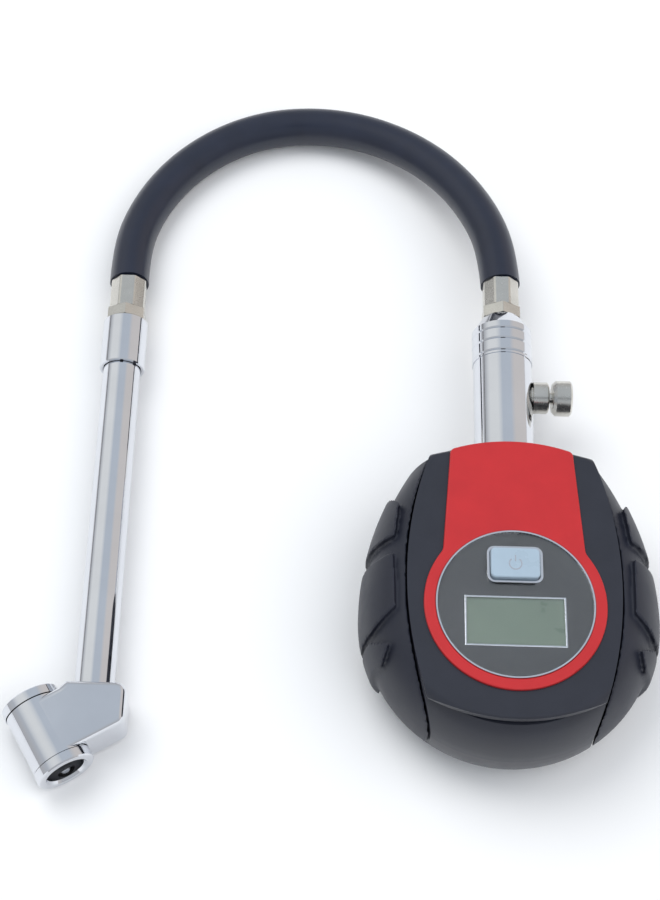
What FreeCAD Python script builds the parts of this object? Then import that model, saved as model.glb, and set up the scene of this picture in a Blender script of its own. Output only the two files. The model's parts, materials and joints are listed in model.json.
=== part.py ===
"""Hand-held digital tire pressure gauge with a hose, a straight wand and a dual-foot air chuck.

The gauge lies on its back. X points right, Y runs along the stem away from the display's
lower edge, and Z points out of the display. The origin is on the surface that the gauge
rests on, directly below the centre of the round display. All sizes are in millimetres.
"""

import FreeCAD, Part

import math
import os
import re

import Sketcher

SIZES = {
    # How far a cut runs past the face that it opens.
    "cut_over": 1.0,
    # Housing outline at its widest level: a round lower half, two side arcs and a top arc.
    "head_low_radius": 45.6,
    "head_side_radius": 96.0,
    "head_centre_y": 2.0,
    "head_top_y": 58.0,
    "head_top_radius": 90.0,
    "head_corner_radius": 5.0,
    # Housing heights, and how far its edges roll in towards the face and the back.
    "widest_height": 20.0,
    "parting_height": 22.0,
    "face_height": 41.4,
    "grip_edge": 16.0,
    "panel_edge": 7.0,
    "top_edge": 4.0,
    "panel_keel": 4.0,
    "panel_recess": 0.25,
    "back_edge": 14.0,
    "grip_thickness": 3.0,
    "shell_wall": 2.2,
    "face_wall": 2.8,
    "back_wall": 2.4,
    # Centre housing between the two grips, its lower lip and the chin below the lip.
    "groove_radius": 126.0,
    "groove_offset": 93.0,
    "groove_centre_y": 9.0,
    "groove_gap": 0.5,
    "lip_radius": 57.6,
    "lip_centre_y": 21.0,
    "lip_thickness": 2.6,
    "lip_shadow": 1.6,
    "lip_chamfer": 0.5,
    "lip_undercut": 2.2,
    "chin_start_y": 20.0,
    # Raised tread pads on the grips.
    "pad_rise": 1.7,
    "pad_low": 4.0,
    # Red bezel: a tapered plate with a round top edge, joined to a ring.
    "bezel_seat": 1.0,
    "bezel_rise": 1.0,
    "bezel_ring_radius": 27.95,
    "bezel_window_radius": 24.3,
    "bezel_top_half": 19.4,
    "bezel_top_y": 52.5,
    "bezel_low_half": 22.0,
    "bezel_low_y": 17.3,
    "bezel_top_radius": 57.0,
    "bezel_end_y": 55.9,
    "bezel_fillet": 4.0,
    "bezel_edge_fillet": 0.5,
    "bezel_spare": 8.0,
    # Display stack, seated on a ledge inside the bezel's window.
    "ledge_radius": 21.9,
    "mask_thickness": 0.8,
    "lens_thickness": 1.1,
    "trim_width": 0.5,
    "trim_rise": 0.25,
    "display_half": 15.5,
    "display_low_y": -13.8,
    "display_high_y": 2.6,
    "display_frame_width": 0.6,
    "display_glass_thickness": 2.1,
    "connector_depth": 2.4,
    "connector_inset": 1.0,
    # Power button in its frame.
    "button_half": 7.6,
    "button_low_y": 7.6,
    "button_high_y": 17.7,
    "button_gap": 0.15,
    "button_frame_width": 0.9,
    "button_frame_rise": 0.6,
    "button_rise": 1.6,
    "button_travel": 0.8,
    "button_flange": 0.8,
    "button_corner": 1.6,
    "button_top_fillet": 0.6,
    "sleeve_radius": 4.5,
    "sleeve_wall": 0.8,
    # Circuit board and what it carries.
    "board_half": 21.6,
    "board_low_y": -17.0,
    "board_step_y": 26.0,
    "board_tab_half": 14.0,
    "board_high_y": 46.0,
    "board_top_height": 36.0,
    "board_thickness": 1.6,
    "board_post_x": 20.0,
    "board_post_low_y": -15.0,
    "board_post_high_y": 20.0,
    "board_post_radius": 2.4,
    "board_screw_radius": 0.85,
    "board_screw_head_radius": 1.9,
    "board_screw_head_height": 1.2,
    "board_screw_end_height": 38.0,
    "switch_half": 3.0,
    "switch_height": 1.2,
    "switch_pin_radius": 1.3,
    "switch_pin_gap": 0.1,
    # Case screws, driven from the back.
    "case_screw_low_x": 25.0,
    "case_screw_low_y": -21.0,
    "case_screw_high_x": 22.0,
    "case_screw_high_y": 38.0,
    "case_screw_radius": 1.45,
    "case_screw_gap": 0.2,
    "case_screw_head_radius": 2.8,
    "case_screw_head_height": 2.0,
    "case_screw_sink": 4.5,
    "case_screw_end": 31.0,
    "case_post_radius": 4.2,
    "case_screw_spare": 1.0,
    "post_root": 1.5,
    # Coin cell and its screw-in cap in the back.
    "cell_radius": 10.0,
    "cell_thickness": 3.2,
    "cell_rim": 1.2,
    "cell_step": 0.5,
    "cell_y": -10.0,
    "cap_radius": 12.3,
    "cap_gap": 0.15,
    "cap_recess": 0.3,
    "cap_thickness": 1.9,
    "cap_spigot_radius": 9.4,
    "cap_spigot": 0.8,
    "coin_slot_half": 8.0,
    "coin_slot_width": 1.8,
    "coin_slot_depth": 1.1,
    "well_radius": 10.6,
    "well_wall": 3.2,
    "cell_low": 3.0,
    "contact_gap": 0.1,
    "cap_seal_thickness": 0.5,
    "seal_inset": 0.2,
    "seal_gap": 0.05,
    "contact_thickness": 0.4,
    "contact_width": 4.0,
    "contact_touch": 4.0,
    "contact_clear": 1.0,
    # Pressure sensor.
    "sensor_start_y": 38.0,
    "sensor_radius": 6.5,
    "sensor_seal_thickness": 1.0,
    "sensor_seal_radius": 5.5,
    "sensor_pin_radius": 0.4,
    "sensor_pin_pitch": 3.0,
    "sensor_pin_over": 1.0,
    "sensor_pin_y": 42.0,
    # Air stem.
    "stem_height": 22.0,
    "stem_radius": 9.85,
    "stem_bore": 3.0,
    "stem_start_y": 47.0,
    "stem_end_y": 95.4,
    "stem_flange_radius": 11.4,
    "stem_flange_start_y": 48.0,
    "stem_flange_end_y": 51.0,
    "stem_spigot_radius": 8.0,
    "stem_spigot_end_y": 100.0,
    "stem_socket_radius": 4.2,
    "stem_socket_depth": 5.0,
    # Grooved cap on the stem's end, which holds the hose swivel.
    "stem_cap_radius": 10.1,
    "stem_cap_shoulder_y": 107.8,
    "stem_cap_end_y": 113.0,
    "stem_cap_end_radius": 6.9,
    "stem_cap_groove": 0.45,
    "first_groove_y": 96.6,
    "second_groove_y": 101.1,
    "third_groove_y": 105.2,
    "groove_width": 0.9,
    "tail_neck_radius": 4.6,
    "tail_flange_radius": 6.5,
    "tail_flange_thickness": 3.0,
    "tail_pilot_radius": 3.2,
    "tail_pilot_gap": 1.0,
    "swivel_seal_y": 97.8,
    "swivel_seal_half": 0.85,
    "running_gap": 0.06,
    "face_gap": 0.2,
    # Hose, its crimped ferrules and the tails inside them.
    "hose_radius": 6.8,
    "ferrule_radius": 6.5,
    "ferrule_wall": 1.2,
    "tail_hex_across": 12.4,
    "tail_hex_length": 4.2,
    "tail_bore": 1.6,
    "gauge_hose_y": 128.0,
    # Bleed valve on the side of the stem.
    "bleed_y": 83.6,
    "bleed_boss_radius": 5.3,
    "bleed_boss_end": 15.0,
    "bleed_boss_chamfer": 0.5,
    "bleed_thread_radius": 3.6,
    "bleed_thread_start": 5.6,
    "bleed_stem_radius": 2.0,
    "bleed_travel": 1.2,
    "bleed_head_radius": 5.95,
    "bleed_head_gap": 0.1,
    "bleed_head_end": 22.7,
    "bleed_head_chamfer": 1.2,
    "bleed_disc_radius": 2.8,
    "bleed_disc_thickness": 1.0,
    "bleed_seal_thickness": 0.9,
    "bleed_pocket_depth": 3.6,
    "spring_wire": 0.35,
    # Straight wand.
    "wand_x": -129.3,
    "wand_height": 9.75,
    "wand_radius": 6.35,
    "wand_bore": 4.4,
    "wand_end_y": -19.5,
    "wand_shoulder_y": 105.0,
    "wand_top_y": 112.4,
    "wand_top_radius": 5.3,
    "wand_collar_radius": 7.65,
    "wand_collar_start_y": 97.0,
    "wand_collar_end_y": 116.0,
    "wand_collar_chamfer": 0.3,
    "wand_collar_end_chamfer": 0.8,
    "wand_collar_mouth": 1.2,
    "wand_collar_mouth_gap": 0.3,
    "wand_hose_y": 132.2,
    "wand_seal_y": 108.0,
    "wand_seal_half": 0.85,
    "wand_clip_y": 110.8,
    "wand_clip_half": 0.4,
    # Dual-foot chuck: foot centre from the wand's axis, foot direction and foot parts.
    "foot_offset_x": -13.1,
    "foot_y": -34.95,
    "foot_angle": 31.05,
    "foot_half": 13.35,
    "foot_body_half": 9.9,
    "foot_body_radius": 9.2,
    "foot_cap_radius": 9.45,
    "foot_cap_start": 10.2,
    "foot_thread_radius": 7.4,
    "foot_thread_start": 4.6,
    "foot_web_half": 1.0,
    "foot_mouth_radius": 6.2,
    "foot_mouth_depth": 4.0,
    "foot_mouth_chamfer": 0.8,
    "foot_seal_radius": 6.7,
    "foot_seal_thickness": 2.3,
    "foot_seal_play": 0.2,
    "foot_seal_hole": 2.9,
    "foot_seat_hole": 2.4,
    "foot_seat_thickness": 1.2,
    "foot_disc_radius": 3.3,
    "foot_disc_thickness": 1.4,
    "foot_pin_radius": 1.7,
    "foot_pin_end": 8.8,
    "foot_pin_chamfer": 0.5,
    "plunger_spring_radius": 2.5,
    "foot_shoulder_radius": 5.9,
    "foot_rim_chamfer": 0.4,
    "foot_air_radius": 1.8,
    "arm_half_height": 9.0,
    "arm_corner": 3.4,
    "arm_fillet": 2.2,
}

# Hose centreline, from the gauge's ferrule to the wand's ferrule.
HOSE_ROUTE = [
    (0.0, 128.0, 22.0),
    (-0.8, 142.4, 21.3),
    (-5.7, 159.1, 19.0),
    (-14.6, 175.7, 15.9),
    (-27.6, 190.3, 12.5),
    (-44.2, 201.0, 9.5),
    (-63.0, 206.0, 7.6),
    (-82.4, 204.5, 7.0),
    (-100.1, 196.5, 6.95),
    (-114.8, 183.3, 6.95),
    (-125.0, 166.4, 7.2),
    (-129.8, 148.0, 8.4),
    (-129.3, 132.2, 9.75),
]
ARC_SHARE = 0.45

# Tread pads of the right-hand grip, seen from the front.
GRIP_PADS = {
    "upper": [(35.3, 35.5), (36.7, 23.0), (52.0, 20.6), (52.0, 47.0), (39.0, 42.0)],
    "long": [(37.2, 16.8), (36.6, 0.0), (36.4, -1.6), (43.5, -7.0), (52.0, -10.5), (52.0, 15.4)],
    "lower": [(38.2, -12.5), (40.2, -17.5), (52.0, -16.5), (52.0, -12.0), (44.0, -9.5)],
}

# Arm of the chuck, from the wand's axis: the block between the wand and the double foot.
ARM_OUTLINE = [
    (10.8, -19.5),
    (10.8, -31.9),
    (-8.1, -43.3),
    (-18.1, -26.6),
    (-10.3, -21.9),
    (-8.0, -19.5),
]

FAR = 80.0
SECTION_ANGLES = (0.0, 20.0, 40.0, 56.0, 70.0, 81.0, 90.0)

document = FreeCAD.newDocument("tire_pressure_gauge")
sheet = document.addObject("Spreadsheet::Sheet", "Sizes")
nodes = []


# ---------------------------------------------------------------- helpers


def fill_sheet():
    """Put every driving size in the sheet, one row each, with its name as alias."""
    for row, (name, value) in enumerate(SIZES.items(), start=1):
        sheet.set("A%d" % row, name)
        sheet.set("B%d" % row, str(value))
        sheet.setAlias("B%d" % row, name)
    document.recompute()


def size(name):
    """A size's present value in the sheet."""
    return float(sheet.get(name))


def bound(formula):
    """The formula with each size's name looked up in the sheet."""
    return re.sub(r"[a-z][a-z_]+", lambda word: "Sizes." + word.group(), str(formula))


def bind(thing, **formulas):
    """Bind properties to formulas; a double underscore stands for a dot."""
    for path, formula in formulas.items():
        thing.setExpression(path.replace("__", "."), bound(formula))


def keep(thing, label):
    """Name a finished sub-part and list it for export."""
    thing.Label = label
    nodes.append(thing)
    return thing


def turn_about(axis, angle):
    """A rotation about an axis."""
    return FreeCAD.Rotation(FreeCAD.Vector(*axis), angle)


ALONG_Z = turn_about((0, 0, 1), 0)
ALONG_Y = turn_about((1, 0, 0), -90)
ALONG_X = turn_about((0, 1, 0), 90)


def placed(thing, rotation=ALONG_Z, x="0", y="0", z="0"):
    """Turn a piece and bind its place."""
    thing.Placement = FreeCAD.Placement(FreeCAD.Vector(), rotation)
    bind(thing, Placement__Base__x=x, Placement__Base__y=y, Placement__Base__z=z)
    return thing


def on_stem(thing):
    """Place a piece whose own Z is the stem's axis; its heights are then Y values."""
    return placed(thing, ALONG_Y, z="stem_height")


def on_wand(thing):
    """Place a piece whose own Z is the wand's axis; its heights are then Y values."""
    return placed(thing, ALONG_Y, x="wand_x", z="wand_height")


def on_bleed(thing):
    """Place a piece whose own Z is the bleed valve's axis; its heights are then X values."""
    return placed(thing, ALONG_X, y="bleed_y", z="stem_height")


def on_cell(thing):
    """Place a piece on the coin cell's axis."""
    return placed(thing, y="cell_y")


def on_foot(thing, front=True):
    """Place a piece whose own Z points out of one foot of the chuck."""
    lean = size("foot_angle") if front else size("foot_angle") + 180.0
    rotation = turn_about((0, 0, 1), lean).multiply(turn_about((1, 0, 0), 90))
    return placed(thing, rotation, "wand_x + foot_offset_x", "foot_y", "wand_height")


def corner_seed(index, count):
    """A starting place for a sketch's corner, before its constraints move it."""
    angle = 2 * math.pi * index / count
    return FreeCAD.Vector(20 + 10 * math.cos(angle), 20 + 10 * math.sin(angle), 0)


def polygon_sketch(body, name, plane_role, corners):
    """A closed outline on one of the body's own planes, each corner bound to its formulas."""
    plane = next(item for item in body.Origin.OriginFeatures if item.Role == plane_role)
    sketch = body.newObject("Sketcher::SketchObject", name)
    sketch.AttachmentSupport = (plane, [""])
    sketch.MapMode = "FlatFace"
    count = len(corners)
    for index in range(count):
        start = corner_seed(index, count)
        end = corner_seed(index + 1, count)
        sketch.addGeometry(Part.LineSegment(start, end), False)
    for index in range(count):
        sketch.addConstraint(Sketcher.Constraint("Coincident", index, 2, (index + 1) % count, 1))
    for index, (across, along) in enumerate(corners):
        for kind, formula, axis in (("DistanceX", across, -2), ("DistanceY", along, -1)):
            if str(formula) == "0":
                sketch.addConstraint(Sketcher.Constraint("PointOnObject", index, 1, axis))
                continue
            number = sketch.addConstraint(Sketcher.Constraint(kind, -1, 1, index, 1, 20.0))
            sketch.setExpression("Constraints[%d]" % number, bound(formula))
    return sketch


def turned(name, corners):
    """A piece turned about its own Z from (radius, height) corners."""
    body = document.addObject("PartDesign::Body", name)
    sketch = polygon_sketch(body, name + "_section", "XZ_Plane", corners)
    turn = body.newObject("PartDesign::Revolution", name + "_turn")
    turn.Profile = sketch
    turn.ReferenceAxis = (sketch, ["V_Axis"])
    turn.Angle = 360
    return body


def tube_corners(inner, outer, low, high):
    """The section of a plain ring."""
    return [(inner, low), (outer, low), (outer, high), (inner, high)]


def slab(name, corners, low, high):
    """A flat piece with the given outline between two heights."""
    body = document.addObject("PartDesign::Body", name)
    sketch = polygon_sketch(body, name + "_outline", "XY_Plane", corners)
    bind(sketch, AttachmentOffset__Base__z=low)
    pad = body.newObject("PartDesign::Pad", name + "_pad")
    pad.Profile = sketch
    bind(pad, Length="(%s) - (%s)" % (high, low))
    return body


def rectangle(left, low, right, high):
    """Corners of an upright rectangle."""
    return [(left, low), (right, low), (right, high), (left, high)]


def cylinder(name, radius, low, high, x="0", y="0"):
    """A plain upright cylinder."""
    rod = document.addObject("Part::Cylinder", name)
    bind(rod, Radius=radius, Height="(%s) - (%s)" % (high, low))
    bind(rod, Placement__Base__x=x, Placement__Base__y=y, Placement__Base__z=low)
    return rod


def block(name, corner, lengths):
    """A box from its lowest corner and its lengths."""
    box = document.addObject("Part::Box", name)
    bind(box, Length=lengths[0], Width=lengths[1], Height=lengths[2])
    bind(box, Placement__Base__x=corner[0], Placement__Base__y=corner[1], Placement__Base__z=corner[2])
    return box


def fused(name, pieces):
    """Several solids made one."""
    joined = document.addObject("Part::MultiFuse", name)
    joined.Shapes = pieces
    joined.Refine = True
    return joined


def shared(name, pieces):
    """What several solids have in common."""
    overlap = document.addObject("Part::MultiCommon", name)
    overlap.Shapes = pieces
    return overlap


def without(name, base, tool):
    """One solid with another cut away."""
    cut = document.addObject("Part::Cut", name)
    cut.Base = base
    cut.Tool = tool
    return cut


def rounded(name, base, radius, wanted):
    """A solid with the edges that pass a test rounded."""
    document.recompute()
    fillet = document.addObject("Part::Fillet", name)
    fillet.Base = base
    edges = base.Shape.Edges
    fillet.Edges = [(number, radius, radius) for number, edge in enumerate(edges, start=1) if wanted(edge)]
    return fillet


def is_upright(edge):
    """True for a straight edge along Z."""
    box = edge.BoundBox
    return box.XLength < 1e-4 and box.YLength < 1e-4


def is_level(edge, height):
    """True for an edge that lies flat at a height."""
    box = edge.BoundBox
    return box.ZLength < 1e-4 and abs(box.ZMin - height) < 1e-3


# ---------------------------------------------------------------- housing


def circle_meeting(first_x, first_y, first_radius, second_x, second_y, second_radius):
    """The right-hand, upper point where two circles cross."""
    across = second_x - first_x
    along = second_y - first_y
    distance = math.hypot(across, along)
    reach = (first_radius**2 - second_radius**2 + distance**2) / (2 * distance)
    rise = math.sqrt(first_radius**2 - reach**2)
    middle_x = first_x + reach * across / distance
    middle_y = first_y + reach * along / distance
    one = (middle_x + rise * along / distance, middle_y - rise * across / distance)
    other = (middle_x - rise * along / distance, middle_y + rise * across / distance)
    return max(one, other)


def towards(centre_x, centre_y, radius, x, y):
    """The point of a circle in the direction of another point."""
    reach = radius / math.hypot(x - centre_x, y - centre_y)
    return centre_x + (x - centre_x) * reach, centre_y + (y - centre_y) * reach


def arc_middle(centre_x, centre_y, radius, start, end):
    """The point of a circle halfway between two of its points."""
    return towards(centre_x, centre_y, radius, (start[0] + end[0]) / 2, (start[1] + end[1]) / 2)


def housing_section(side_inset, top_inset, height):
    """The housing's outline at one height, as a closed wire of six arcs."""
    centre_y = size("head_centre_y")
    low_radius = size("head_low_radius") - side_inset
    side_radius = size("head_side_radius") - side_inset
    side_x = size("head_low_radius") - size("head_side_radius")
    top_radius = size("head_top_radius") - top_inset
    top_centre_y = size("head_top_y") - size("head_top_radius")
    corner = size("head_corner_radius")
    corner_x, corner_y = circle_meeting(
        side_x, centre_y, side_radius - corner, 0.0, top_centre_y, top_radius - corner
    )
    widest = (low_radius, centre_y)
    side_end = towards(side_x, centre_y, side_radius, corner_x, corner_y)
    top_end = towards(0.0, top_centre_y, top_radius, corner_x, corner_y)
    right = [
        (widest, arc_middle(side_x, centre_y, side_radius, widest, side_end), side_end),
        (side_end, arc_middle(corner_x, corner_y, corner, side_end, top_end), top_end),
    ]
    left = [tuple((-x, y) for x, y in reversed(arc)) for arc in reversed(right)]
    top = (top_end, (0.0, top_centre_y + top_radius), (-top_end[0], top_end[1]))
    bottom = ((-low_radius, centre_y), (0.0, centre_y - low_radius), widest)
    edges = []
    for arc in [*right, top, *left, bottom]:
        points = [FreeCAD.Vector(x, y, height) for x, y in arc]
        edges.append(Part.Arc(*points).toShape())
    return Part.Wire(edges)


def housing_pod(name, shrink, side_edge, high, low, top_recess=0.0):
    """The rounded housing shape, made smaller all round, between two heights."""
    widest = size("widest_height")
    top_edge = size("top_edge")
    back_edge = size("back_edge")
    sections = []
    for angle in reversed(SECTION_ANGLES[1:]):
        roll = back_edge * (1 - math.cos(math.radians(angle)))
        height = widest - (widest - low) * math.sin(math.radians(angle))
        sections.append(housing_section(shrink + roll, shrink + top_recess + roll, height))
    for angle in SECTION_ANGLES:
        curl = 1 - math.cos(math.radians(angle))
        height = widest + (high - widest) * math.sin(math.radians(angle))
        top_inset = shrink + top_recess + top_edge * curl
        sections.append(housing_section(shrink + side_edge * curl, top_inset, height))
    pod = document.addObject("Part::Feature", name)
    pod.Shape = Part.makeLoft(sections, True, False)
    return pod


def groove_zone(name, gap):
    """The upright lens shape between the two grips, made wider by a gap."""
    sides = []
    for side, offset in (("left", "groove_offset"), ("right", "-groove_offset")):
        sides.append(
            cylinder(name + "_" + side, "groove_radius + " + gap, -FAR, FAR, offset, "groove_centre_y")
        )
    return shared(name, sides)


def case_screw_places():
    """Where the four case screws stand."""
    places = []
    for sign in ("-", ""):
        places.append((sign + "case_screw_low_x", "case_screw_low_y"))
        places.append((sign + "case_screw_high_x", "case_screw_high_y"))
    return places


def board_post_places():
    """Where the four posts of the circuit board stand."""
    places = []
    for sign in ("-", ""):
        for along in ("board_post_low_y", "board_post_high_y"):
            places.append((sign + "board_post_x", along))
    return places


def rods(name, places, radius, low, high):
    """The same upright rod at several places."""
    return [
        cylinder("%s_%d" % (name, number), radius, low, high, x, y)
        for number, (x, y) in enumerate(places, start=1)
    ]


def make_bezel():
    """Red plate and ring in one piece, and the blank that cuts its seat."""
    low = "face_height - bezel_seat"
    high = "face_height + bezel_rise"
    slope = "(bezel_low_half - bezel_top_half) / (bezel_top_y - bezel_low_y)"
    end_half = "bezel_top_half - (%s) * bezel_spare" % slope
    root_half = "bezel_low_half + (%s) * bezel_low_y" % slope
    end_y = "bezel_top_y + bezel_spare"
    corners = [
        ("-(%s)" % root_half, "0"),
        (root_half, "0"),
        (end_half, end_y),
        ("-(%s)" % end_half, end_y),
    ]
    plate = slab("bezel_plate", corners, low, high)
    top_disc = cylinder("bezel_top_disc", "bezel_top_radius", low, high, y="bezel_end_y - bezel_top_radius")
    trimmed = shared("bezel_trimmed_plate", [plate, top_disc])
    ring = cylinder("bezel_ring", "bezel_ring_radius", low, high)
    blank = fused("bezel_blank", [trimmed, ring])
    blended = rounded(
        "bezel_blended",
        blank,
        size("bezel_fillet"),
        lambda edge: is_upright(edge) and edge.BoundBox.YMin < size("bezel_top_y") - 1,
    )
    cornered = rounded(
        "bezel_cornered",
        blended,
        size("bezel_fillet") / 2,
        lambda edge: is_upright(edge) and edge.BoundBox.YMin > size("bezel_top_y") - 1,
    )
    opened = without("bezel_opened", cornered, cylinder("bezel_window", "bezel_window_radius", -FAR, FAR))
    top = size("face_height") + size("bezel_rise")
    bezel = rounded("bezel_shape", opened, size("bezel_edge_fillet"), lambda edge: is_level(edge, top))
    keep(bezel, "bezel")
    return cornered


def make_housing():
    """The shapes that both shells and both grips are cut from."""
    grip = size("grip_thickness")
    face = size("face_height")
    outer = housing_pod("pod_outer", 0.0, size("grip_edge"), face, 0.0)
    panel_low = size("widest_height") - size("panel_keel")
    fuller = housing_pod("pod_panel", 0.0, size("panel_edge"), face, panel_low, size("panel_recess"))
    core = housing_pod("pod_core", grip, size("grip_edge"), face - grip, grip)
    hollow = housing_pod(
        "pod_hollow",
        grip + size("shell_wall"),
        size("grip_edge"),
        face - size("face_wall"),
        size("back_wall"),
    )
    zone = groove_zone("centre_zone", "0")
    lip_disc = turned(
        "lip_disc",
        [
            ("0", "0"),
            ("lip_radius", "0"),
            ("lip_radius", "face_height - lip_chamfer"),
            ("lip_radius - lip_chamfer - cut_over", "face_height + cut_over"),
            ("0", "face_height + cut_over"),
        ],
    )
    placed(lip_disc, ALONG_Z, y="lip_centre_y")
    panel = shared("panel_blank", [fuller, zone, lip_disc])
    chin_room = block(
        "chin_room",
        (-FAR, -FAR, -1),
        (2 * FAR, "%s - chin_start_y" % FAR, "face_height - lip_thickness + 1"),
    )
    lipped = without("panel_with_lip", panel, chin_room)
    centre = shared("centre_blank", [outer, zone])
    case = without("case_shadowed", fused("case_blank", [lipped, centre, core]), make_lip_shadow(zone))
    return outer, core, without("case_hollow", case, hollow)


def make_lip_shadow(zone):
    """The step under the lower lip, where the chin starts further in."""
    low = "face_height - lip_thickness - lip_shadow"
    length = "%s - chin_start_y" % FAR
    room = block("shadow_room", (-FAR, -FAR, low), (2 * FAR, length, "lip_shadow"))
    band = shared("shadow_band", [room, zone])
    root = cylinder("lip_root", "lip_radius - lip_undercut", -1, FAR, y="lip_centre_y")
    return without("lip_shadow_cut", band, root)


def make_front_shell(case, bezel_blank):
    """Front shell with its display opening, posts and the half hole for the stem."""
    room = block("front_room", (-FAR, -FAR, "parting_height"), (2 * FAR, 2 * FAR, FAR))
    half = shared("front_half", [case, room])
    case_posts = rods(
        "front_post", case_screw_places(), "case_post_radius", "parting_height", "face_height - post_root"
    )
    board_posts = rods(
        "board_post", board_post_places(), "board_post_radius", "board_top_height", "face_height - post_root"
    )
    solid = fused("front_solid", [half, *case_posts, *board_posts])
    openings = [
        bezel_blank,
        cylinder("display_opening", "ledge_radius", "parting_height", FAR),
        on_stem(cylinder_along("front_stem_hole", "stem_radius", 0, FAR)),
        *rods("front_screw_hole", case_screw_places(), "case_screw_radius", 0, "case_screw_end"),
        *rods("board_screw_hole", board_post_places(), "board_screw_radius", 0, "board_screw_end_height"),
    ]
    keep(without("front_shell_shape", solid, fused("front_openings", openings)), "front_shell")


def make_rear_shell(case):
    """Rear shell with its screw posts, battery well and the half hole for the stem."""
    room = block("rear_room", (-FAR, -FAR, -FAR), (2 * FAR, 2 * FAR, "parting_height + %s" % FAR))
    half = shared("rear_half", [case, room])
    case_posts = rods("rear_post", case_screw_places(), "case_post_radius", "post_root", "parting_height")
    cell_high = "cell_low + cell_thickness"
    well = cylinder("well_blank", "well_radius + well_wall", "post_root", cell_high, y="cell_y")
    solid = fused("rear_solid", [half, *case_posts, well])
    shank = "case_screw_radius + case_screw_gap"
    head = "case_screw_head_radius + case_screw_gap"
    head_top = "case_screw_sink + case_screw_head_height"
    seal_top = "cap_recess + cap_thickness + cap_seal_thickness"
    openings = [
        on_stem(cylinder_along("rear_stem_hole", "stem_radius", 0, FAR)),
        *rods("rear_screw_hole", case_screw_places(), shank, "-cut_over", FAR),
        *rods("screw_sink", case_screw_places(), head, "-cut_over", head_top),
        cylinder("cap_hole", "cap_radius + cap_gap", "-cut_over", seal_top, y="cell_y"),
        cylinder("well_hole", "well_radius", "-cut_over", "parting_height", y="cell_y"),
    ]
    keep(without("rear_shell_shape", solid, fused("rear_openings", openings)), "rear_shell")


def make_grips(outer, core):
    """Two rubber grips that wrap the housing's sides, each with three raised tread pads."""
    rise = size("pad_rise")
    raised = housing_pod("pod_raised", -rise, size("grip_edge"), size("face_height") + rise, -rise)
    pads = []
    for name, corners in GRIP_PADS.items():
        pads.append(slab(name + "_right_pad", corners, "pad_low", FAR))
        mirrored = [(-x, y) for x, y in corners]
        pads.append(slab(name + "_left_pad", mirrored, "pad_low", FAR))
    tread = shared("tread", [raised, fused("tread_blanks", pads)])
    band = without("grip_band", fused("grip_blank", [outer, tread]), core)
    sides = without("grip_sides", band, groove_zone("groove_zone", "groove_gap"))
    right_room = block("right_room", (0, -FAR, -FAR), (FAR, 2 * FAR, 2 * FAR))
    left_room = block("left_room", (-FAR, -FAR, -FAR), (FAR, 2 * FAR, 2 * FAR))
    keep(shared("right_grip_shape", [sides, right_room]), "right_grip")
    keep(shared("left_grip_shape", [sides, left_room]), "left_grip")


# ---------------------------------------------------------------- display and button


def rounded_slab(name, corners, low, high, radius):
    """A flat piece with rounded upright corners."""
    return rounded(name, slab(name + "_blank", corners, low, high), radius, is_upright)


def make_display():
    """Mask, lens and chrome rings over the display glass."""
    floor = "face_height - bezel_seat"
    mask_top = floor + " + mask_thickness"
    lens_top = mask_top + " + lens_thickness"
    disc_radius = "bezel_window_radius - trim_width"
    button_room = rectangle(
        "-button_half - button_gap - button_frame_width",
        "button_low_y - button_gap - button_frame_width",
        "button_half + button_gap + button_frame_width",
        "button_high_y + button_gap + button_frame_width",
    )
    frame = ("-display_half", "display_low_y", "display_half", "display_high_y")
    edge = "display_frame_width"
    glass = rectangle(
        "-display_half + " + edge,
        "display_low_y + " + edge,
        "display_half - " + edge,
        "display_high_y - " + edge,
    )
    corner = size("button_corner") + size("button_frame_width")
    button_hole = rounded_slab("button_hole", button_room, 0, FAR, corner)
    display_hole = slab("display_hole", rectangle(*frame), 0, FAR)
    mask_disc = cylinder("mask_disc", disc_radius, floor, mask_top)
    keep(without("mask_shape", mask_disc, fused("mask_holes", [button_hole, display_hole])), "face_mask")
    lens_disc = cylinder("lens_disc", disc_radius, mask_top, lens_top)
    keep(without("lens_shape", lens_disc, button_hole), "lens_window")
    trim_top = lens_top + " + trim_rise"
    trim = turned("lens_trim_ring", tube_corners(disc_radius, "bezel_window_radius", floor, trim_top))
    keep(trim, "lens_trim_ring")
    frame_blank = slab("display_frame_blank", rectangle(*frame), floor, mask_top)
    frame_hole = slab("display_frame_hole", glass, 0, FAR)
    keep(without("display_frame_shape", frame_blank, frame_hole), "display_frame")
    glass_low = floor + " - display_glass_thickness"
    keep(slab("display_glass", rectangle(*frame), glass_low, floor), "display_glass")
    connector = rectangle(
        "-display_half + connector_inset",
        "display_high_y - connector_depth",
        "display_half - connector_inset",
        "display_high_y",
    )
    keep(slab("display_connector", connector, "board_top_height", glass_low), "display_connector")


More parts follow.
